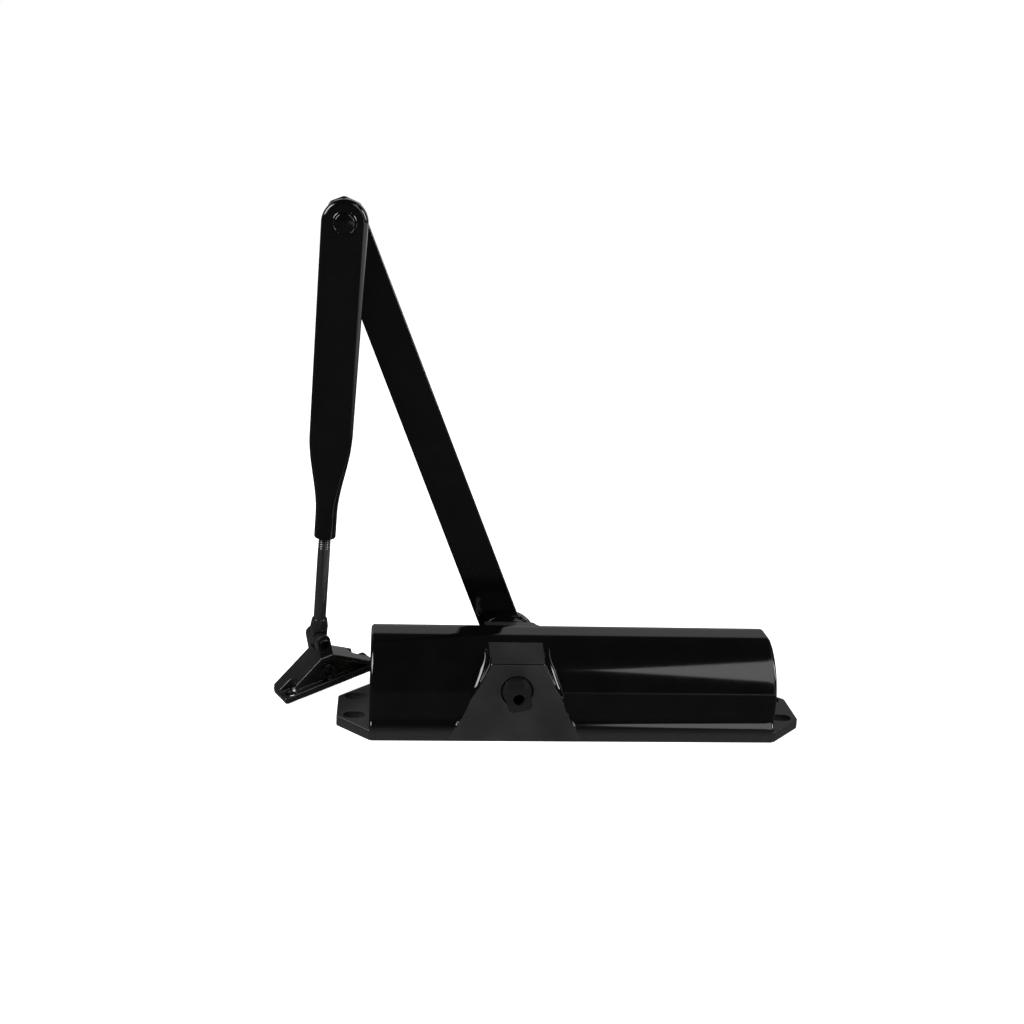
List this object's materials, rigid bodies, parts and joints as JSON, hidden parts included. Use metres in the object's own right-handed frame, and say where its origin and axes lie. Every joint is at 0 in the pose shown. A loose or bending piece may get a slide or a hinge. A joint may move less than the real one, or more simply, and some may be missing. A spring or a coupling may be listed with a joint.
{
  "type": "hydraulic door closer",
  "caption": "Black surface-mounted door closer: arched cast body with end feet, a through pinion, a flat main arm, an adjustable forearm and a tilting shoe, arms folded.",
  "frame": {"origin": "centre of the four-slot hole pattern, on the body's mounting face", "axes": "+X along the body to its spring end, +Y from the body's middle to the main arm, +Z out of the mounting face"},
  "size_m": [0.2852, 0.0955, 0.2726],
  "materials": {
    "gloss_black": "gloss",
    "blackened": "blackened, satin",
    "steel": "ground",
    "spring_steel": "oil tempered",
    "brass": "machined",
    "rubber": "matt",
    "piston_iron": "ground"
  },
  "bodies": {
    "housing": {"body_casting": "gloss_black", "end_plug_left": "blackened", "end_plug_right": "blackened", "end_plug_seal_left": "rubber", "end_plug_seal_right": "rubber", "bearing_near": "steel", "bearing_far": "steel", "shaft_seal_near": "rubber", "shaft_seal_far": "rubber", "bearing_cap_far": "blackened", "closing_spring": "spring_steel"},
    "pinion_and_arm": {"pinion_shaft": "blackened", "main_arm": "gloss_black", "arm_screw": "blackened", "arm_washer": "blackened", "elbow_rivet": "gloss_black", "elbow_washer": "blackened"},
    "piston": {"piston": "piston_iron", "check_ball": "steel", "check_ball_keeper": "brass", "piston_seal": "rubber"},
    "spring_seat": {"spring_seat": "steel"},
    "power_adjuster": {"power_adjust_screw": "steel"},
    "sweep_valve": {"sweep_valve": "brass", "sweep_valve_seal": "rubber"},
    "latch_valve": {"latch_valve": "brass", "latch_valve_seal": "rubber"},
    "backcheck_valve": {"backcheck_valve": "brass", "backcheck_valve_seal": "rubber"},
    "forearm": {"forearm": "gloss_black"},
    "adjusting_rod": {"adjusting_rod": "gloss_black"},
    "rod_end": {"rod_end": "gloss_black"},
    "shoe": {"shoe_bracket": "gloss_black", "shoe_pin": "blackened"}
  },
  "joints": [
    {"name": "pinion_turn", "type": "hinge", "parent": "housing", "child": "pinion_and_arm", "pos_m": [-0.031, 0, 0.028], "axis": [0, 1, 0], "range_deg": [0, 115], "stiffness_Nm_per_rad": 3, "springref_deg": -114.59},
    {"name": "piston_slide", "type": "slide", "parent": "housing", "child": "piston", "axis": [1, 0, 0], "range_m": [0, 0.0161], "deforming": ["closing_spring"]},
    {"name": "elbow_turn", "type": "hinge", "parent": "pinion_and_arm", "child": "forearm", "pos_m": [-0.12506, 0.0308, 0.25963], "axis": [0, 1, 0], "range_deg": [0, 150]},
    {"name": "rod_adjust", "type": "slide", "parent": "forearm", "child": "adjusting_rod", "axis": [0.0499, 0, 0.9988], "range_m": [0, 0.016]},
    {"name": "rod_end_swivel", "type": "hinge", "parent": "adjusting_rod", "child": "rod_end", "pos_m": [-0.13645, 0.0308, 0.03152], "axis": [0.0499, 0, 0.9988], "range_deg": [0, 60]},
    {"name": "shoe_tilt", "type": "hinge", "parent": "rod_end", "child": "shoe", "pos_m": [-0.13645, 0.0308, 0.03152], "axis": [-0.4534, 0.891, 0.0227], "range_deg": [0, 24]},
    {"name": "power_adjust", "type": "hinge", "parent": "housing", "child": "power_adjuster", "pos_m": [0.1, 0, 0.028], "axis": [1, 0, 0], "range_deg": [0, 1921]},
    {"name": "spring_seat_slide", "type": "slide", "parent": "housing", "child": "spring_seat", "axis": [-1, 0, 0], "range_m": [0, 0.008]},
    {"name": "sweep_valve_turn", "type": "hinge", "parent": "housing", "child": "sweep_valve", "pos_m": [-0.1059, -0.0228, 0.0114], "axis": [-1, 0, 0], "range_deg": [0, 720]},
    {"name": "latch_valve_turn", "type": "hinge", "parent": "housing", "child": "latch_valve", "pos_m": [-0.1059, 0.0228, 0.0114], "axis": [-1, 0, 0], "range_deg": [0, 720]},
    {"name": "backcheck_valve_turn", "type": "hinge", "parent": "housing", "child": "backcheck_valve", "pos_m": [0.1059, -0.0228, 0.0114], "axis": [1, 0, 0], "range_deg": [0, 720]}
  ],
  "couplings": [
    {"joint": "piston_slide", "follows": "pinion_turn", "m_per_rad": 0.008},
    {"joint": "power_adjust", "follows": "spring_seat_slide", "rad_per_m": 4188.8}
  ]
}
